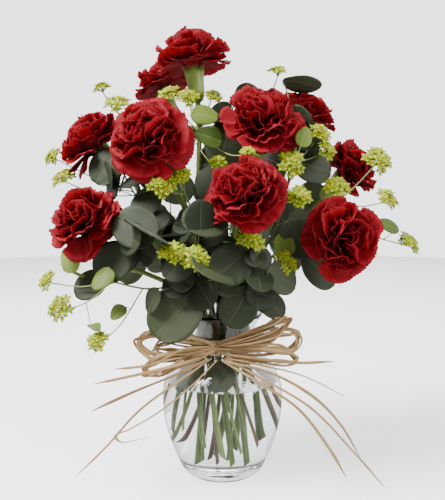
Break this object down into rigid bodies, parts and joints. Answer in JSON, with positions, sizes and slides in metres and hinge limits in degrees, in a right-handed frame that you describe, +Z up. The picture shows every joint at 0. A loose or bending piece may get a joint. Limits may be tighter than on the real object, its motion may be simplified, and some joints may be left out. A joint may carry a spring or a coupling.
{
  "type": "flower arrangement in vase",
  "caption": "Red carnations with round-leaved eucalyptus and bupleurum in a clear glass vase of water, its neck tied with a raffia bow",
  "frame": {"origin": "centre of the vase's flat foot, on the surface that it stands on", "axes": "+Z up along the vase's axis, -Y is the front where the raffia bow is tied, +X is to the right seen from the front"},
  "size_m": [0.3641, 0.2108, 0.4262],
  "materials": {
    "vase_glass": "clear polished pressed glass",
    "water": "clear still water",
    "carnation_petals": "deep red velvety petals with finely toothed edges",
    "carnation_green": "waxy fresh green stem and calyx",
    "eucalyptus_green": "matt grey-green leaves with a waxy bloom",
    "bupleurum_green": "yellow-green bracts and leaves on thin pale stems",
    "raffia": "dry natural fibre strands"
  },
  "bodies": {
    "root": {"vase": "vase_glass", "water": "water", "raffia_knot": "raffia", "raffia_wrap": "raffia", "raffia_loops_left": "raffia", "raffia_loops_right": "raffia", "raffia_tail_left_1": "raffia", "raffia_tail_left_2": "raffia", "raffia_tail_left_3": "raffia", "raffia_tail_left_4": "raffia", "raffia_tail_left_5": "raffia", "raffia_tail_right_1": "raffia", "raffia_tail_right_2": "raffia", "raffia_tail_right_3": "raffia", "raffia_tail_right_4": "raffia", "raffia_tail_right_5": "raffia", "carnation_bloom_1": "carnation_petals", "carnation_bloom_2": "carnation_petals", "carnation_bloom_3": "carnation_petals", "carnation_bloom_4": "carnation_petals", "carnation_bloom_5": "carnation_petals", "carnation_bloom_6": "carnation_petals", "carnation_bloom_7": "carnation_petals", "carnation_bloom_8": "carnation_petals", "carnation_bloom_9": "carnation_petals", "carnation_bloom_10": "carnation_petals", "carnation_stem_1": "carnation_green", "carnation_stem_2": "carnation_green", "carnation_stem_3": "carnation_green", "carnation_stem_4": "carnation_green", "carnation_stem_5": "carnation_green", "carnation_stem_6": "carnation_green", "carnation_stem_7": "carnation_green", "carnation_stem_8": "carnation_green", "carnation_stem_9": "carnation_green", "carnation_stem_10": "carnation_green", "eucalyptus_sprig_front_left": "eucalyptus_green", "eucalyptus_sprig_front": "eucalyptus_green", "eucalyptus_sprig_front_right": "eucalyptus_green", "eucalyptus_sprig_top": "eucalyptus_green", "eucalyptus_sprig_right": "eucalyptus_green", "eucalyptus_sprig_left": "eucalyptus_green", "eucalyptus_sprig_back_right": "eucalyptus_green", "eucalyptus_sprig_back_left": "eucalyptus_green", "bupleurum_sprig_top_left": "bupleurum_green", "bupleurum_sprig_top": "bupleurum_green", "bupleurum_sprig_upper_right": "bupleurum_green", "bupleurum_sprig_right": "bupleurum_green", "bupleurum_sprig_low_left": "bupleurum_green", "bupleurum_sprig_front": "bupleurum_green", "bupleurum_sprig_back": "bupleurum_green"}
  },
  "joints": []
}
